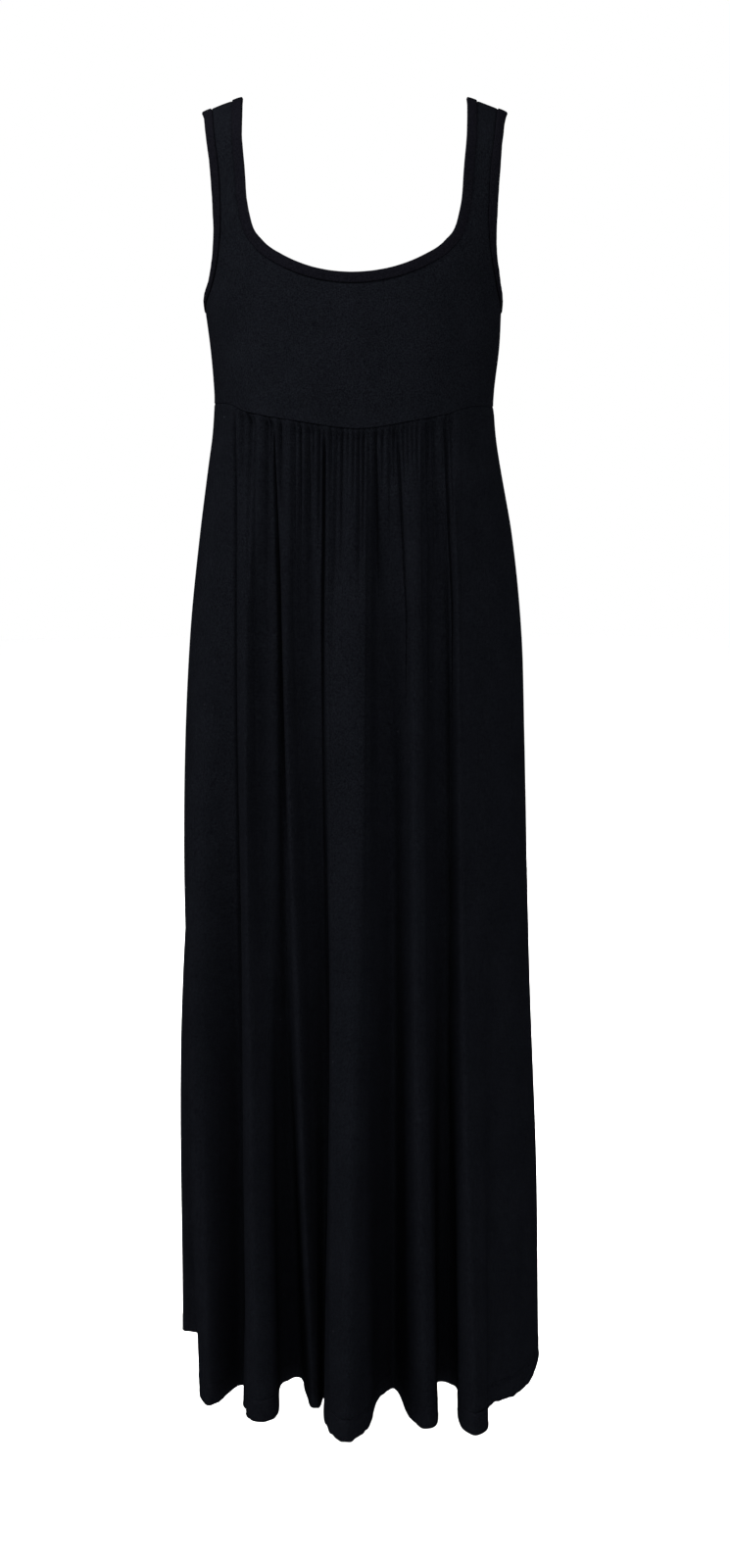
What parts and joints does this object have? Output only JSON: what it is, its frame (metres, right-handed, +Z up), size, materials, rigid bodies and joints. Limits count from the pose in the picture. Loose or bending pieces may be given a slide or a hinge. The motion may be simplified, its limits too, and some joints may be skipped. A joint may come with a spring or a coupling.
{
  "type": "sleeveless maxi dress",
  "caption": "Sleeveless empire-line maxi dress in plain jersey: scooped neck, bound edges, gathered front seam and a long skirt that hangs in soft flutes, hollow as when worn.",
  "frame": {"origin": "midway between the two shoulder straps, at the height of the shoulder line, where the wearer's shoulders carry the dress", "axes": "+Z up from hem to shoulder; +Y from front to back, so the front faces -Y; +X towards the wearer's left"},
  "size_m": [0.3888, 0.366, 1.3009],
  "materials": {
    "jersey": "near-black viscose and elastane jersey with a soft, low sheen",
    "binding": "the same jersey, cut across and folded double into a flat band"
  },
  "bodies": {
    "root": {"bodice_front": "jersey", "bodice_back": "jersey", "skirt_front": "jersey", "skirt_back": "jersey", "neck_binding": "binding", "armhole_binding_left": "binding", "armhole_binding_right": "binding"}
  },
  "joints": []
}
